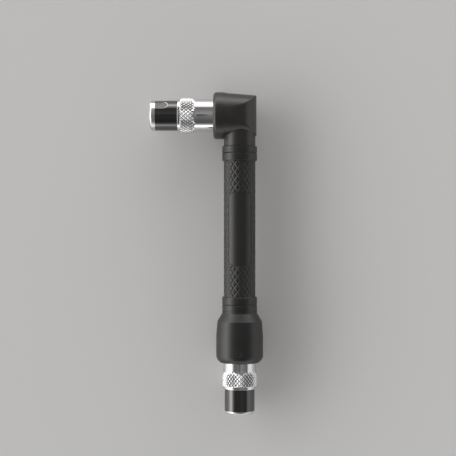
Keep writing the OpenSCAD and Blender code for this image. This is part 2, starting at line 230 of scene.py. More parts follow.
def cut_away(piece, cutters):
    """Cuts holes that don't show into a piece."""
    for cutter in cutters:
        hole = piece.modifiers.new("hole", "BOOLEAN")
        hole.object = cutter
        hole.operation = "DIFFERENCE"
        hole.solver = "EXACT"
    bpy.context.view_layer.update()
    whole = piece.evaluated_get(bpy.context.evaluated_depsgraph_get())
    piece.data = bpy.data.meshes.new_from_object(whole)
    piece.modifiers.clear()
    for cutter in cutters:
        bpy.data.objects.remove(cutter)
    return piece


def rod_cutter(place, start, end, radius, columns=48):
    """A round cutter between two points of a piece's frame."""
    start, end = Vector(start), Vector(end)
    work = bmesh.new()
    bmesh.ops.create_cone(
        work, cap_ends=True, segments=columns, radius1=radius, radius2=radius, depth=1,
    )
    mesh = bpy.data.meshes.new("cutter")
    work.to_mesh(mesh)
    work.free()
    way = end - start
    turn = way.to_track_quat("Z", "Y").to_matrix().to_4x4()
    stretch = Matrix.Diagonal((1, 1, way.length, 1))
    mesh.transform(place @ Matrix.Translation((start + end) / 2) @ turn @ stretch)
    return new_object("cutter", mesh)


# Materials


class Finish:
    """One procedural material and the few nodes that the finishes share."""

    def __init__(self, name):
        self.material = bpy.data.materials.new(name)
        self.material.use_nodes = True
        self.nodes = self.material.node_tree.nodes
        self.links = self.material.node_tree.links
        self.shader = self.nodes["Principled BSDF"]
        self.place = self.nodes.new("ShaderNodeTexCoord").outputs["Object"]

    def set(self, **values):
        for key, value in values.items():
            self.shader.inputs[key.replace("_", " ")].default_value = value

    def link(self, socket, output):
        self.links.new(output, self.shader.inputs[socket])

    def noise(self, per_mm, detail=3.0, roughness=0.55):
        node = self.nodes.new("ShaderNodeTexNoise")
        node.inputs["Scale"].default_value = per_mm / MM
        node.inputs["Detail"].default_value = detail
        node.inputs["Roughness"].default_value = roughness
        self.links.new(self.place, node.inputs["Vector"])
        return node.outputs["Fac"]

    def rings(self, axis, per_mm):
        """Fine lines turned round an axis of the model."""
        split = self.nodes.new("ShaderNodeSeparateXYZ")
        self.links.new(self.place, split.inputs[0])
        node = self.nodes.new("ShaderNodeTexNoise")
        node.noise_dimensions = "1D"
        node.inputs["Scale"].default_value = per_mm / MM
        node.inputs["Detail"].default_value = 2
        self.links.new(split.outputs[axis], node.inputs["W"])
        return node.outputs["Fac"]

    def value(self, name):
        node = self.nodes.new("ShaderNodeAttribute")
        node.attribute_name = name
        return node.outputs["Fac"]

    def between(self, factor, low, high, from_low=0.0, from_high=1.0):
        """A number that runs from low to high as the factor does."""
        node = self.nodes.new("ShaderNodeMapRange")
        node.inputs["From Min"].default_value = from_low
        node.inputs["From Max"].default_value = from_high
        node.inputs["To Min"].default_value = low
        node.inputs["To Max"].default_value = high
        self.links.new(factor, node.inputs["Value"])
        return node.outputs["Result"]

    def math(self, kind, a, b):
        node = self.nodes.new("ShaderNodeMath")
        node.operation = kind
        node.use_clamp = kind == "MAXIMUM"
        for socket, value in zip(node.inputs, (a, b)):
            if isinstance(value, (int, float)):
                socket.default_value = value
            else:
                self.links.new(value, socket)
        return node.outputs[0]

    def colours(self, factor, *stops):
        """A colour that runs through (place, colour) stops as the factor does."""
        node = self.nodes.new("ShaderNodeValToRGB")
        ramp = node.color_ramp
        while len(ramp.elements) < len(stops):
            ramp.elements.new(0.5)
        for element, (place, colour) in zip(ramp.elements, stops):
            element.position = place
            element.color = (*colour, 1)
        self.links.new(factor, node.inputs["Fac"])
        return node.outputs["Color"]

    def mixed(self, factor, a, b):
        node = self.nodes.new("ShaderNodeMix")
        node.data_type = "RGBA"
        self.links.new(factor, node.inputs["Factor"])
        for socket, value in ((node.inputs[6], a), (node.inputs[7], b)):
            if isinstance(value, tuple):
                socket.default_value = (*value, 1)
            else:
                self.links.new(value, socket)
        return node.outputs[2]

    def bump(self, *layers):
        """Each layer is a height output and how high it stands, in millimetres."""
        normal = None
        for height, rise in layers:
            node = self.nodes.new("ShaderNodeBump")
            node.inputs["Strength"].default_value = 1.0
            node.inputs["Distance"].default_value = rise * MM
            self.links.new(height, node.inputs["Height"])
            if normal is not None:
                self.links.new(normal, node.inputs["Normal"])
            normal = node.outputs["Normal"]
        self.link("Normal", normal)


def plastic(name, dark, light, rough_low, rough_high):
    """Black moulded plastic: an even satin skin with a fine grain, a little cloudy."""
    finish = Finish(name)
    cloud = finish.noise(0.35, 4)
    finish.link("Base Color", finish.colours(cloud, (0.3, dark), (0.7, light)))
    finish.link("Roughness", finish.between(finish.noise(1.3, 5), rough_low, rough_high, 0.3, 0.7))
    finish.bump((finish.noise(0.5, 2), 0.012), (finish.noise(7.0, 3), 0.004))
    finish.set(IOR=1.6)
    return finish.material


def chrome(name, axis):
    """Polished chrome with faint turned lines, duller on the knurl, with painted shade darkening
    the deep half of its grooves.
    """
    finish = Finish(name)
    groove = finish.value("groove")
    # Painted shade: the base colour runs to near black down the deep half of each knurl groove.
    bright, dark = (0.80, 0.80, 0.81), (0.08, 0.08, 0.08)
    finish.link("Base Color", finish.colours(groove, (0.5, bright), (1.0, dark)))
    marks = finish.between(finish.noise(0.6, 4), 0.06, 0.10, 0.35, 0.7)
    duller = finish.math("MULTIPLY", finish.value("band"), 0.17)
    finish.link("Roughness", finish.math("ADD", marks, duller))
    finish.set(Metallic=1.0)
    finish.bump((finish.rings(axis, 9.0), 0.0006), (finish.noise(0.4, 2), 0.003))
    return finish.material


def black_steel(name, axis):
    """Glossy black finish on steel, duller on the slot's floor, with a painted highlight along the
    slot's edge: a line of bright bare steel.
    """
    finish = Finish(name)
    painted_edge_highlight = finish.value("painted_edge_highlight")
    dark, light = (0.0034, 0.003, 0.003), (0.0055, 0.0045, 0.0045)
    cloud = finish.colours(finish.noise(0.8, 4), (0.3, dark), (0.75, light))
    # Painted highlight: a line of bright bare steel along the slot's edge.
    finish.link("Base Color", finish.mixed(painted_edge_highlight, cloud, (0.62, 0.61, 0.60)))
    finish.link("Metallic", painted_edge_highlight)
    marks = finish.between(finish.noise(1.1, 5), 0.13, 0.20, 0.35, 0.7)
    milled = finish.math("MULTIPLY", finish.value("milled"), 0.25)
    highlight_rough = finish.math("MULTIPLY", painted_edge_highlight, 0.15)
    finish.link("Roughness", finish.math("ADD", marks, finish.math("ADD", milled, highlight_rough)))
    finish.set(IOR=2.0)
    finish.bump((finish.rings(axis, 7.0), 0.0009), (finish.noise(0.5, 2), 0.003))
    return finish.material


def steel(name, dark, light, rough_low, rough_high, axis=None):
    """Bare steel: machined, drawn or ground, with turned lines where it has an axis."""
    finish = Finish(name)
    finish.link("Base Color", finish.colours(finish.noise(0.9, 4), (0.3, dark), (0.7, light)))
    finish.link("Roughness", finish.between(finish.noise(1.6, 4), rough_low, rough_high, 0.3, 0.7))
    finish.set(Metallic=1.0)
    grain = finish.noise(9.0, 3) if axis is None else finish.rings(axis, 8.0)
    finish.bump((grain, 0.0015), (finish.noise(0.6, 2), 0.004))
    return finish.material


MOULDED = plastic("moulded_black", (0.0095, 0.009, 0.0087), (0.0125, 0.012, 0.0115), 0.36, 0.44)
# The elbow's copy of the moulded black is lighter: painted light, standing in for the brighter
# light that the elbow catches.
ELBOW_LIT_SKIN = plastic(
    "moulded_black_elbow_painted_light", (0.018, 0.0165, 0.016), (0.023, 0.0215, 0.0205), 0.33, 0.41,
)
GRIP_SKIN = plastic("grip_black", (0.010, 0.0095, 0.009), (0.014, 0.0135, 0.013), 0.38, 0.47)
CHROME = {"head": chrome("sleeve_chrome_head", "X"), "tail": chrome("sleeve_chrome_tail", "Y")}
BLACK = {
    "head": black_steel("barrel_black_head", "X"),
    "tail": black_steel("barrel_black_tail", "Y"),
}
NOSE = {
    "head": steel("nose_steel_head", (0.62, 0.61, 0.61), (0.72, 0.72, 0.72), 0.30, 0.38, "X"),
    "tail": steel("nose_steel_tail", (0.62, 0.61, 0.61), (0.72, 0.72, 0.72), 0.30, 0.38, "Y"),
}
SOCKET = steel("socket_steel", (0.26, 0.25, 0.24), (0.36, 0.35, 0.34), 0.30, 0.42)
INNER = steel("inner_steel", (0.42, 0.42, 0.43), (0.52, 0.52, 0.53), 0.28, 0.40)
SPRING = steel("spring_steel", (0.38, 0.37, 0.37), (0.46, 0.45, 0.45), 0.22, 0.32)
BALL = steel("ball_steel", (0.58, 0.58, 0.59), (0.66, 0.66, 0.67), 0.10, 0.16)
MAGNET = steel("magnet_nickel", (0.54, 0.53, 0.50), (0.64, 0.63, 0.60), 0.20, 0.30)

# The knurls, measured in the photograph: how many diamonds go round, and how long one is
CHROME_DIAMONDS = 32
CHROME_DIAMOND_L = 1.35
CHROME_STEPS = 14
CHROME_FLAT = 2 / 7
GRIP_DIAMONDS = 16
GRIP_DIAMOND_L = 2.45
GRIP_STEPS = 16
GRIP_FLAT = 0.5


def knurl_cut(angle, along, diamonds, diamond_l, flat_share):
    """How deep two crossed families of V grooves cut: 0 on a diamond's flat, 1 in a groove."""
    deepest = 0
    for side in (-1, 1):
        phase = diamonds * angle / TURN + side * along / diamond_l
        to_groove = 1 - np.abs(2 * np.mod(phase, 1) - 1)
        deepest = np.maximum(deepest, np.clip((to_groove - flat_share) / (1 - flat_share), 0, 1))
    return deepest


# Bit holders

BARREL_R = 4.8
SHANK_R = 3.95
NOSE_ROUND = 0.9
SOCKET_AF = 6.4
SOCKET_L = 13.5
LEAD_R = 3.75
LEAD_L = 1.2
MAGNET_R = 2.5
MAGNET_T = 2.0
BARREL_IN_L = 6.3
BARREL_BACK_L = 19.1
CLIP_FRONT = 13.65
CLIP_T = 0.6
CLIP_NECK_R = 3.5
SLOT_W = 2.6
SLOT_L = 5.65
SLOT_D = 0.35
ROD_AF = 5.0
ROD_HOLD_L = 5.0
BALL_AT = 3.7
BALL_HOLE_R = 0.62
BALL_BORE_R = 0.75
BALL_BORE_FLOOR = 3.75
PIN_HOLE_R = 0.85
# How far the slot's wall leans in and out of its outline
WALL_IN = 0.06
WALL_OUT = 0.12
# The painted highlight along the slot's edge, a line of bright bare steel: how far out it runs, and
# over what width it fades
EDGE_HIGHLIGHT_AT = 0.1
EDGE_HIGHLIGHT_W = 0.16
GAP = 0.05
BARREL_COLUMNS = 360


def barrel(name, end, nose_l, slot_turn, band_l, pin_at, place, node):
    """A barrel: rounded bare nose, glossy black body, hex socket, slot and stepped shank."""
    step = 0.08
    slot_end = nose_l - SLOT_L
    socket_bottom = nose_l - SOCKET_L
    # Rows as (along, radius, across flats, material): the radius is None where the row is a hexagon
    black, bare, inside = 0, 1, 2
    rows = [
        (socket_bottom - MAGNET_T - GAP, MAGNET_R + GAP, None, inside),
        (socket_bottom, MAGNET_R + GAP, None, inside),
        (socket_bottom, None, SOCKET_AF, inside),
        (nose_l - LEAD_L - 0.05, None, SOCKET_AF, inside),
        (nose_l - LEAD_L, None, SOCKET_AF + 0.08, inside),
        (nose_l - LEAD_L, LEAD_R - 0.03, None, inside),
        (nose_l - LEAD_L + 0.05, LEAD_R, None, inside),
        (nose_l - 0.12, LEAD_R, None, bare),
        (nose_l - 0.03, LEAD_R + 0.04, None, bare),
        (nose_l, LEAD_R + 0.12, None, bare),
    ]
    socket_rows = len(rows)
    steps = 14
    for i in range(steps + 1):
        turn = math.pi / 2 * i / steps
        rows.append((
            nose_l - NOSE_ROUND * (1 - math.cos(turn)),
            BARREL_R - NOSE_ROUND * (1 - math.sin(turn)),
            None,
            bare,
        ))
    rows[-1] = (*rows[-1][:3], bare if band_l > NOSE_ROUND + step else black)
    along = nose_l - NOSE_ROUND - step
    while along > slot_end - 0.5:
        rows.append((along, BARREL_R, None, bare if along - step > nose_l - band_l else black))
        along -= step
    for back, radius in rounded([
        (-BARREL_IN_L + 0.5, BARREL_R, 0),
        (-BARREL_IN_L, BARREL_R, 0.15),
        (-BARREL_IN_L, SHANK_R, 0.1),
        (GAP - CLIP_FRONT, SHANK_R, 0.05),
        (GAP - CLIP_FRONT, CLIP_NECK_R, 0),
        (-CLIP_FRONT - CLIP_T - GAP, CLIP_NECK_R, 0),
        (-CLIP_FRONT - CLIP_T - GAP, SHANK_R, 0.05),
        (-BARREL_BACK_L, SHANK_R, 0.3),
        (-BARREL_BACK_L, SHANK_R - 1, 0),
    ], steps=3, closed=False):
        rows.append((back, radius, None, black))
    if end == "tail":
        hold = ROD_AF + 2 * GAP
        rows += [
            (-BARREL_BACK_L, None, hold, inside),
            (ROD_HOLD_L - BARREL_BACK_L, None, hold, inside),
        ]
    angle = np.arange(BARREL_COLUMNS) * TURN / BARREL_COLUMNS
    corner_at = {SOCKET_AF: 0.0}
    radius = np.array([
        hex_radius(angle, af, corner_at.get(af, TURN / 4)) if r is None
        else np.full(BARREL_COLUMNS, r)
        for _, r, af, _ in rows
    ])
    along = np.array([row[0] for row in rows])
    points = round_points(along, radius, BARREL_COLUMNS)
    # The slot: a flat floor with upright walls and a round end
    turn = math.radians(slot_turn)
    up = points[..., 0] * math.cos(turn) + points[..., 1] * math.sin(turn)
    side = -points[..., 0] * math.sin(turn) + points[..., 1] * math.cos(turn)
    middle_at = slot_end + SLOT_W / 2
    beyond = np.minimum(points[..., 2] - middle_at, 0)
    to_wall = np.hypot(side, beyond) - SLOT_W / 2
    top = BARREL_R - SLOT_D + (SLOT_D + 0.05) * smoothstep(-WALL_IN, WALL_OUT, to_wall)
    outer = (radius > MAGNET_R + GAP + 1e-6) & (np.arange(len(rows)) >= socket_rows)[:, None]
    lowered = outer & (up > top)
    up = np.where(lowered, top, up)
    points[..., 0] = np.where(lowered, up * math.cos(turn) - side * math.sin(turn), points[..., 0])
    points[..., 1] = np.where(lowered, up * math.sin(turn) + side * math.cos(turn), points[..., 1])
    near = (np.abs(to_wall - WALL_IN) < 0.5) & (up > 0) & outer & (along > slot_end - 0.4)[:, None]
    # A line of bright bare steel just outside the slot's edge: painted highlight.
    painted_edge_highlight = np.where(near, np.clip(1.2 - np.abs(to_wall - EDGE_HIGHLIGHT_AT) / EDGE_HIGHLIGHT_W, 0, 1), 0)
    milled = np.where(lowered & (to_wall < 0), 1.0, 0.0)
    piece = skin(
        name, points, place, [BLACK[end], NOSE[end], SOCKET], row_material=[row[3] for row in rows],
        closed=False, values={"painted_edge_highlight": painted_edge_highlight, "milled": milled}, sharp_deg=28,
    )
    holes = [
        rod_cutter(place, (-3.0, 0, -BALL_AT), (-3.9, 0, -BALL_AT), BALL_HOLE_R),
        rod_cutter(place, (-BALL_BORE_FLOOR, 0, -BALL_AT), (-6.0, 0, -BALL_AT), BALL_BORE_R),
        rod_cutter(place, (-5.0, 0, -pin_at), (5.0, 0, -pin_at), PIN_HOLE_R),
    ]
    cut_away(piece, holes)
    fit(piece, "tool", "barrel_black", node)
    return piece


SLEEVE_BORE_R = 4.85
SLEEVE_L = 12.4
COLLAR_R = 5.3
KNURL_R = 5.7
LIP_R = 5.35
LIP_L = 0.8
KNURL_D = 0.19
KNURL_ROWS = 58
# The guiding land inside the sleeve, and the groove that the ball drops into
LAND_FRONT = 6.4
LAND_BACK = 7.2
RELEASE_FRONT = 0.9
RELEASE_BACK = 1.5
RELEASE_D = 0.3
SLEEVE_COLUMNS = CHROME_DIAMONDS * CHROME_STEPS


def sleeve_radius(along):
    """Radius of the sleeve's outside behind its lip: a band that runs down to the collar."""
    rise = np.clip((-along - LIP_L) / 0.4, 0, 1)
    front = LIP_R + (KNURL_R - LIP_R) * np.sqrt(1 - (1 - rise) ** 2)
    return front - (KNURL_R - COLLAR_R) * smoothstep(3.7, 6.3, -along)


def sleeve(name, end, place, body, node):
    """The chrome sleeve: lip, knurl that runs out on the shoulder, collar and stepped bore."""
    row_l = CHROME_DIAMOND_L / CHROME_STEPS
    knurled = -LIP_L - row_l * np.arange(KNURL_ROWS)
    lead = rounded([
        (-0.3, SLEEVE_BORE_R, 0),
        (0, SLEEVE_BORE_R, 0.08),
        (0, LIP_R, 0.1),
        (0.05 - LIP_L, LIP_R, 0),
    ], closed=False)
    back = rounded([
        (knurled[-1] - 0.1, COLLAR_R, 0),
        (-SLEEVE_L, COLLAR_R, 0.2),
        (-SLEEVE_L, SLEEVE_BORE_R, 0.1),
        (-LAND_BACK, SLEEVE_BORE_R, 0),
        (-LAND_BACK, SHANK_R + GAP, 0.08),
        (-LAND_FRONT, SHANK_R + GAP, 0.08),
        (-LAND_FRONT, SLEEVE_BORE_R, 0),
        (-BALL_AT, SLEEVE_BORE_R, 0),
        (-RELEASE_BACK, SLEEVE_BORE_R + RELEASE_D, 0),
        (-RELEASE_FRONT, SLEEVE_BORE_R + RELEASE_D, 0),
        (-RELEASE_FRONT, SLEEVE_BORE_R, 0),
    ], closed=False)
    along = np.concatenate([lead[:, 0], knurled, back[:, 0]])
    plain = np.concatenate([lead[:, 1], sleeve_radius(knurled), back[:, 1]])
    angle = np.arange(SLEEVE_COLUMNS) * TURN / SLEEVE_COLUMNS
    cut = knurl_cut(
        angle[None, :], along[:, None] + LIP_L, CHROME_DIAMONDS, CHROME_DIAMOND_L, CHROME_FLAT,
    )
    in_band = np.zeros(len(along), bool)
    in_band[len(lead):len(lead) + len(knurled)] = True
    share = in_band * smoothstep(LIP_L, LIP_L + 0.35, -along) * (1 - smoothstep(4.4, 6.1, -along))
    depth = KNURL_D * cut * share[:, None]
    radius = plain[:, None] - depth
    groove = depth / KNURL_D
    piece = skin(
        name, round_points(along, radius, SLEEVE_COLUMNS), place, [CHROME[end]],
        values={"groove": groove, "band": share[:, None] + np.zeros_like(cut), "height": radius},
        creased=in_band, sharp_deg=24,
    )
    fit(piece, body, "sleeve_chrome", node)
    return piece


def magnet(name, place, nose_l, node):
    """A small disc with chamfered rims at the bottom of the socket."""
    top = nose_l - SOCKET_L
    outline = rounded([
        (top - MAGNET_T, 0.2, 0),
        (top - MAGNET_T, MAGNET_R, 0.2),
        (top, MAGNET_R, 0.25),
        (top, 0.2, 0),
    ], closed=False)
    points = round_points(outline[:, 0], outline[:, 1], 96)
    piece = skin(name, points, place, [MAGNET], closed=False)
    fit(piece, "tool", "magnet_nickel", node)
    return piece


SPRING_R = 4.4
WIRE_D = 0.55
SPRING_FRONT = 7.25
SPRING_L = 5.8
SPRING_TURNS = 6.2
SPRING_CLOSED = 0.8


def spring(name, place, node):
    """A coil spring with closed ends, from smooth wire."""
    steps = 40
    sides = 12
    turns = np.linspace(0, SPRING_TURNS, int(SPRING_TURNS * steps) + 1)
    low = SPRING_FRONT + WIRE_D / 2
    high = SPRING_FRONT + SPRING_L - WIRE_D / 2
    pitch = np.where(
        (turns < SPRING_CLOSED) | (turns > SPRING_TURNS - SPRING_CLOSED), WIRE_D * 0.25, 1.0
    )
    climb = np.concatenate([[0], np.cumsum(np.convolve(pitch, np.ones(15) / 15, "same")[1:])])
    back = low + (high - low) * climb / climb[-1]
    angle = turns * TURN
    centre = np.stack([SPRING_R * np.cos(angle), SPRING_R * np.sin(angle), -back], -1)
    out = np.stack([np.cos(angle), np.sin(angle), np.zeros_like(angle)], -1)
    round_wire = np.arange(sides) * TURN / sides
    along = np.array((0, 0, 1.0))
    points = centre[:, None] + WIRE_D / 2 * (
        np.cos(round_wire)[None, :, None] * out[:, None] + np.sin(round_wire)[None, :, None] * along
    )
    piece = skin(name, points, place, [SPRING], closed=False, sharp_deg=50)
    fit(piece, "tool", "spring_steel", node)
    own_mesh(piece)
    return piece


barrel(
    "head_barrel_finish", "head", HEAD_NOSE_L, slot_turn=42, band_l=1.8, pin_at=17.2,
    place=HEAD, node="head_barrel",
)
barrel(
    "tail_barrel_finish", "tail", TAIL_NOSE_L, slot_turn=157, band_l=1.05, pin_at=16.65,
    place=TAIL, node="tail_barrel",
)
sleeve("head_sleeve_finish", "head", HEAD, "head_sleeve", "head_sleeve")
sleeve("tail_sleeve_finish", "tail", TAIL, "tail_sleeve", "tail_sleeve")
magnet("head_magnet_finish", HEAD, HEAD_NOSE_L, "head_magnet")
magnet("tail_magnet_finish", TAIL, TAIL_NOSE_L, "tail_magnet")
spring("head_spring_coil", HEAD, "head_spring")
spring("tail_spring_coil", TAIL, "tail_spring")

# Elbow housing

housing_low, housing_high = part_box("head_housing")
MOUTH_REACH = (ELBOW.x - housing_low.x) / MM
COLUMN_REACH = (housing_high.x - ELBOW.x) / MM
NECK_L = (ELBOW.y - housing_low.y) / MM
RIM_R = (housing_high.y - ELBOW.y) / MM
RIM_L = 4.2
RIM_RAMP_L = 1.5
RIM_ROUND = 1.05
SHELL_R = 7.25
SHELL_END_R = 6.45
COLUMN_R = 6.4
BLEND_L = 2.25
NECK_R = 5.05
POCKET_R = 5.6
POCKET_END = -4.5
BLOCK_HOLE_R = 4.8
BLOCK_HOLE_END = 0.95
LEG_HOLE_R = 3.95
MOUTH_CHAMFER = 0.3
VOXEL = 0.15


def shell_radius(x):
    """Radius of the tapered shell at a place along the head axis."""
    share = (x + MOUTH_REACH - RIM_L) / (COLUMN_REACH + MOUTH_REACH - RIM_L)
    return SHELL_R + (SHELL_END_R - SHELL_R) * share


def elbow_field(p):
    """Below zero inside the elbow housing, above zero outside, about in millimetres."""
    x, y, z = p[:, 0], p[:, 1], p[:, 2]
    from_head = np.hypot(y, z)
    from_handle = np.hypot(x, z)
    # The rim, its ramp and the tapered shell, turned on the head axis
    back = x + MOUTH_REACH
    on_rim = 1 - smoothstep(RIM_L - RIM_RAMP_L, RIM_L + 0.2, back)
    skin_at = from_head - shell_radius(x) - (RIM_R - shell_radius(x)) * on_rim
    inset, depth = skin_at + RIM_ROUND, RIM_ROUND - back
    outside = np.hypot(np.maximum(inset, 0), np.maximum(depth, 0))
    turned = outside + np.minimum(np.maximum(inset, depth), 0) - RIM_ROUND
    # The upright column with its flat run-outs
    column_at = COLUMN_REACH - COLUMN_R
    half = float(shell_radius(column_at - BLEND_L))
    touch = math.atan2(half, -BLEND_L) - math.acos(COLUMN_R / math.hypot(BLEND_L, half))
    dx = x - column_at
    turn = np.minimum(np.arctan2(np.abs(z), dx), touch)
    column = dx * np.cos(turn) + np.abs(z) * np.sin(turn) - COLUMN_R
    body = smooth_max(turned, column, 0.22)
    neck = smooth_max(np.maximum(from_handle - NECK_R, y), -NECK_L - y, 0.15)
    body = smooth_min(body, neck, 0.1)
    # The hollow
    pocket = np.maximum(from_head - POCKET_R, x - POCKET_END)
    chamfer = (from_head - POCKET_R + x + MOUTH_REACH - MOUTH_CHAMFER) * math.sqrt(0.5)
    pocket = np.minimum(pocket, chamfer)
    pocket = np.minimum(pocket, np.maximum(from_head - BLOCK_HOLE_R, x - BLOCK_HOLE_END))
    pocket = np.minimum(pocket, np.maximum(from_handle - LEG_HOLE_R, y))
    return smooth_max(body, -pocket, 0.1)


def settle(points, field, rounds=6, step_limit=0.12):
    """Moves points onto the zero surface of a field."""
    small = 0.004
    for _ in range(rounds):
        level = field(points)
        slope = np.stack([
            field(points + small * axis) - field(points - small * axis) for axis in np.eye(3)
        ], -1) / (2 * small)
        size = np.maximum((slope ** 2).sum(-1), 0.25)
        move = -level[:, None] * slope / size[:, None]
        length = np.linalg.norm(move, axis=-1, keepdims=True)
        points = points + move * np.minimum(1, step_limit / np.maximum(length, 1e-9))
    return points


def elbow_housing():
    """The moulded elbow, meshed evenly from the CAD node and settled onto its smooth field."""
    start = frame["nodes"]["head_housing"].data.copy()
    start.transform(ELBOW_FRAME.inverted())
    start.materials.clear()
    raw = new_object("elbow_raw", start)
    remesh = raw.modifiers.new("even", "REMESH")
    remesh.mode = "VOXEL"
    remesh.voxel_size = VOXEL
    bpy.context.view_layer.update()
    mesh = bpy.data.meshes.new_from_object(raw.evaluated_get(bpy.context.evaluated_depsgraph_get()))
    bpy.data.objects.remove(raw)
    points = np.zeros(len(mesh.vertices) * 3)
    mesh.vertices.foreach_get("co", points)
    points = points.reshape(-1, 3)
    ends = np.zeros(len(mesh.edges) * 2, np.int64)
    mesh.edges.foreach_get("vertices", ends)
    ends = ends.reshape(-1, 2)
    count = np.bincount(ends.ravel(), minlength=len(points))[:, None]
    points = settle(points, elbow_field)
    for _ in range(4):
        total = np.zeros_like(points)
        np.add.at(total, ends[:, 0], points[ends[:, 1]])
        np.add.at(total, ends[:, 1], points[ends[:, 0]])
        points = settle(0.5 * points + 0.5 * total / count, elbow_field, rounds=3)
    mesh.vertices.foreach_set("co", points.ravel())
    mesh.transform(ELBOW_FRAME)
    mesh.shade_smooth()
    mesh.name = "elbow_housing"
    # The elbow takes the lighter copy of the moulded black, which carries painted light.
    mesh.materials.append(ELBOW_LIT_SKIN)
    piece = new_object("elbow_housing", mesh)
    fit(piece, "tool", "moulded_black", "head_housing")
    return piece


elbow_housing()

# Handle

GRIP_TOP = (ELBOW.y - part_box("upper_ring")[0].y) / MM
GRIP_END = (ELBOW.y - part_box("lower_ring")[1].y) / MM
RING_L = 4.6
RING_R = 5.58
GROOVE_AT = 2.5
GROOVE_W = 0.36
GROOVE_D = 0.2
SPIGOT_R = 4.2
GRIP_R = 5.05
GRIP_KNURL_D = 0.13
PANEL_SINK = 0.12
PANEL_HALF_DEG = 47
PANEL_TOP = 24.3
PANEL_END = 48.2
PANEL_ROUND_L = 2.6
GRIP_COLUMNS = GRIP_DIAMONDS * GRIP_STEPS


def ring(name, grip_side, way, node):
    """A moulded ring with a turned groove and soft edges. way is 1 where it lies below the grip."""
    low, high = GROOVE_AT - GROOVE_W / 2, GROOVE_AT + GROOVE_W / 2
    outline = rounded([
        (0, SPIGOT_R + GAP, 0),
        (0, RING_R, 0.28),
        (low, RING_R, 0.05),
        (GROOVE_AT, RING_R - GROOVE_D, 0.04),
        (high, RING_R, 0.05),
        (RING_L, RING_R, 0.08),
        (RING_L, SPIGOT_R + GAP, 0),
    ], steps=4)
    points = round_points(grip_side + way * outline[:, 0], outline[:, 1], 192)
    piece = skin(name, points, HANDLE, [MOULDED], sharp_deg=40)
    fit(piece, "tool", "moulded_black", node)
    return piece


def panel_share(angle, along):
    """1 on the two smooth long panels, in front and behind, and 0 on the knurl."""
    from_panel = np.abs(np.mod(angle, math.pi) - math.pi / 2)
    sideways = from_panel / math.radians(PANEL_HALF_DEG)
    past_end = np.maximum(PANEL_TOP + PANEL_ROUND_L - along, along - PANEL_END + PANEL_ROUND_L)
    lengthways = np.maximum(past_end, 0) / PANEL_ROUND_L
    reach = (sideways ** 2.6 + lengthways ** 2) ** 0.5
    return 1 - smoothstep(0.95, 1.02, reach)


def grip():
    """The grip: coarse diamond knurl all over, apart from two smooth panels."""
    rows = int(round((GRIP_END - GRIP_TOP) * GRIP_STEPS / GRIP_DIAMOND_L))
    along = np.linspace(GRIP_TOP, GRIP_END, rows + 1)
    diamond_l = GRIP_STEPS * (GRIP_END - GRIP_TOP) / rows
    angle = np.arange(GRIP_COLUMNS) * TURN / GRIP_COLUMNS
    cut = knurl_cut(angle[None, :], along[:, None] - GRIP_TOP, GRIP_DIAMONDS, diamond_l, GRIP_FLAT)
    panel = panel_share(angle[None, :], along[:, None])
    from_end = np.minimum(along - GRIP_TOP, GRIP_END - along)[:, None]
    grooves = GRIP_KNURL_D * cut * (1 - panel) * smoothstep(0, 0.3, from_end)
    depth = np.maximum(grooves, PANEL_SINK * panel)
    outside = GRIP_R - depth
    hold = hex_radius(angle, ROD_AF + 2 * GAP)
    plain = [
        (GRIP_END, SPIGOT_R), (GRIP_END + RING_L, SPIGOT_R), (GRIP_END + RING_L, None),
        (GRIP_TOP - RING_L, None), (GRIP_TOP - RING_L, SPIGOT_R), (GRIP_TOP, SPIGOT_R),
    ]
    others = np.array([hold if r is None else np.full(GRIP_COLUMNS, r) for _, r in plain])
    radius = np.vstack([outside, others])
    along = np.concatenate([along, [place for place, _ in plain]])
    creased = np.arange(len(along)) < rows
    groove = np.vstack([np.clip(depth / GRIP_KNURL_D, 0, 1), np.zeros_like(others)])
    piece = skin(
        "grip_knurled", round_points(along, radius, GRIP_COLUMNS), HANDLE, [GRIP_SKIN],
        values={"groove": groove, "height": radius}, creased=creased, sharp_deg=20,
    )
    fit(piece, "tool", "grip_black", "grip_sleeve")
    return piece


ring("upper_ring_turned", GRIP_TOP, -1, "upper_ring")
grip()
ring("lower_ring_turned", GRIP_END, 1, "lower_ring")

# Tail boot

BOOT_TOP = (ELBOW.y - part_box("tail_boot")[1].y) / MM
BOOT_MOUTH = (ELBOW.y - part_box("tail_boot")[0].y) / MM
TAIL_SEAT = BOOT_TOP + 9.4
TAIL_SHANK_END = BOOT_TOP + 5.6
ROD_CORNER_R = ROD_AF / math.sqrt(3)
BOOT_R = 7.5
BOOT_DRAW_L = 2.4
BOOT_LIP_R = 6.1
BOOT_COLUMNS = 512
GATE_AT = 3.1
GATE_R = 0.52
GATE_D = 0.12


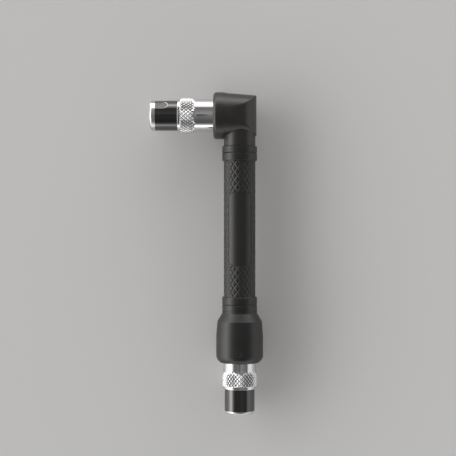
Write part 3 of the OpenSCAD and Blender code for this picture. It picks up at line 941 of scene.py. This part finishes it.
def boot():
    """The boot: a straight top, a flare, a slight swell, a round mouth and a gate mark."""
    drop = BOOT_R - BOOT_LIP_R
    mouth_round = (BOOT_DRAW_L ** 2 + drop ** 2) / (2 * drop)
    turn = np.linspace(0, math.atan2(BOOT_DRAW_L, mouth_round - drop), 24)
    drawn = np.stack([
        BOOT_MOUTH - BOOT_DRAW_L + mouth_round * np.sin(turn),
        BOOT_R - mouth_round * (1 - np.cos(turn)),
    ], -1)
    swelling = rounded([
        (BOOT_TOP, RING_R - 0.35, 0),
        (BOOT_TOP, RING_R, 0.1),
        (BOOT_TOP + 0.6, RING_R, 0.7),
        (BOOT_TOP + 3.25, 7.14, 0.5),
        (BOOT_TOP + 7.9, BOOT_R, 8.0),
        (*drawn[0], 0),
    ], steps=8, closed=False)
    inside = rounded([
        (*drawn[-1], 0),
        (BOOT_MOUTH, POCKET_R + MOUTH_CHAMFER, 0.06),
        (BOOT_MOUTH - MOUTH_CHAMFER, POCKET_R, 0.08),
        (TAIL_SEAT, POCKET_R, 0),
        (TAIL_SEAT, SHANK_R + GAP, 0),
        (TAIL_SHANK_END - 0.1, SHANK_R + GAP, 0),
        (TAIL_SHANK_END - 0.1, ROD_CORNER_R + GAP, 0),
        (BOOT_TOP, ROD_CORNER_R + GAP, 0),
    ], closed=False)
    # More rows where the gate mark lies
    gate = BOOT_MOUTH - GATE_AT
    dense = np.linspace(gate - 0.8, gate + 0.6, 21)
    swelling = np.vstack([swelling[:-1], np.stack([dense, np.full(21, BOOT_R)], -1)])
    line = np.vstack([swelling, drawn, inside[1:]])
    along, radius = line[:, 0], line[:, 1]
    angle = np.arange(BOOT_COLUMNS) * TURN / BOOT_COLUMNS
    round_way = (np.mod(angle - math.pi / 2 + math.pi, TURN) - math.pi)[None, :] * radius[:, None]
    off = np.hypot(round_way, along[:, None] - gate)
    pit = GATE_D * (1 - smoothstep(GATE_R - 0.08, GATE_R + 0.08, off))
    grown = radius[:, None] - np.where(radius[:, None] > 7, pit, 0)
    points = round_points(along, grown, BOOT_COLUMNS)
    piece = skin("tail_boot_moulded", points, HANDLE, [MOULDED], sharp_deg=40)
    fit(piece, "tool", "moulded_black", "tail_boot")
    return piece


boot()

# The inner pieces keep their CAD shape and get their finish


def dress(material, *nodes):
    for name in nodes:
        node = frame["nodes"][name]
        node.data.materials.clear()
        node.data.materials.append(material)


dress(INNER, "head_core_block", "head_cross_pin", "head_spring_washer", "core_rod")
dress(INNER, "tail_cross_pin", "tail_spring_washer")
dress(SPRING, "head_retaining_ring", "tail_retaining_ring")
dress(BALL, "head_ball", "tail_ball")

# Floor, lights and camera


def floor():
    work = bmesh.new()
    bmesh.ops.create_grid(work, x_segments=4, y_segments=4, size=6)
    mesh = bpy.data.meshes.new("floor")
    work.to_mesh(mesh)
    work.free()
    plane = new_object("floor", mesh)
    plane.location.z = -0.05 * MM
    finish = Finish("floor_pale")
    finish.set(Base_Color=(0.84, 0.84, 0.83, 1), Roughness=0.3)
    mesh.materials.append(finish.material)


def world():
    """A round studio as one smooth sky, its brightness given by compass angle and height.

    A bright soft lamp stands on the left, another on the head's side, a weak one on the tail's side
    and a pale wall on the right. The ceiling is dim, with a dark spot straight above."""
    sky = bpy.data.worlds.new("studio")
    bpy.context.scene.world = sky
    sky.use_nodes = True
    nodes, links = sky.node_tree.nodes, sky.node_tree.links

    def op(kind, *values):
        node = nodes.new("ShaderNodeMath")
        node.operation = kind
        for socket, value in zip(node.inputs, values):
            if isinstance(value, (int, float)):
                socket.default_value = value
            else:
                links.new(value, socket)
        return node.outputs[0]

    split = nodes.new("ShaderNodeSeparateXYZ")
    links.new(nodes.new("ShaderNodeTexCoord").outputs["Generated"], split.inputs[0])
    around = op("ARCTAN2", split.outputs["Y"], split.outputs["X"])
    compass = op("DEGREES", around)
    height = op("DEGREES", op("ARCSINE", split.outputs["Z"]))

    def near(value, width, power):
        share = op("ABSOLUTE", op("DIVIDE", value, width))
        return op("EXPONENT", op("MULTIPLY", op("POWER", share, power), -1))

    def facing(azimuth, half_width):
        return near(op("WRAP", op("SUBTRACT", compass, azimuth), 180, -180), half_width, 4)

    def lamp(azimuth, elevation, half_width, half_height, radiance):
        level = near(op("SUBTRACT", height, elevation), half_height, 2)
        return op("MULTIPLY", op("MULTIPLY", facing(azimuth, half_width), level), radiance)

    def by_height(*stops):
        node = nodes.new("ShaderNodeValToRGB")
        ramp = node.color_ramp
        while len(ramp.elements) < len(stops):
            ramp.elements.new(0.5)
        for element, (place, level) in zip(ramp.elements, stops):
            element.position = place / 90
            element.color = (level, level, level, 1)
        links.new(op("DIVIDE", height, 90), node.inputs["Fac"])
        return node.outputs["Color"]

    ceiling = by_height(
        (0, 0.13), (45, 0.13), (65, 0.19), (76, 0.23), (84, 0.21), (86, 0.12), (88, 0.07),
    )
    sideways, lengthways = op("SINE", around), op("COSINE", around)
    lean = op("ADD", op("MULTIPLY", sideways, 0.3), op("MULTIPLY", lengthways, 0.15))
    light = op("MULTIPLY", ceiling, op("ADD", lean, 1))
    wall = by_height((0, 0.68), (26, 0.68), (37, 0.0))
    away = op("SUBTRACT", 1, op("MULTIPLY", facing(270, 50), 0.9))
    light = op("ADD", light, op("MULTIPLY", wall, away))
    # Each lamp's compass angle, height, half width and half height in degrees, and its brightness
    for lobe in (
        lamp(180, 19, 48, 16, 3.0),
        lamp(90, 5, 46, 14, 3.0),
        lamp(270, 4, 50, 13, 1.8),
    ):
        light = op("ADD", light, lobe)
    links.new(light, nodes["Background"].inputs["Strength"])
    nodes["Background"].inputs["Color"].default_value = (1.0, 0.985, 0.975, 1)


floor()
world()

CAMERA_AT = (0.00688, 0.00791, 0.3725)
camera = bpy.data.cameras.new("camera")
camera.lens = 90
camera.sensor_width = 36
camera.clip_start = 0.01
camera_object = bpy.data.objects.new("camera", camera)
bpy.context.scene.collection.objects.link(camera_object)
camera_object.location = CAMERA_AT
bpy.context.scene.camera = camera_object
bpy.context.scene.view_settings.view_transform = "Standard"
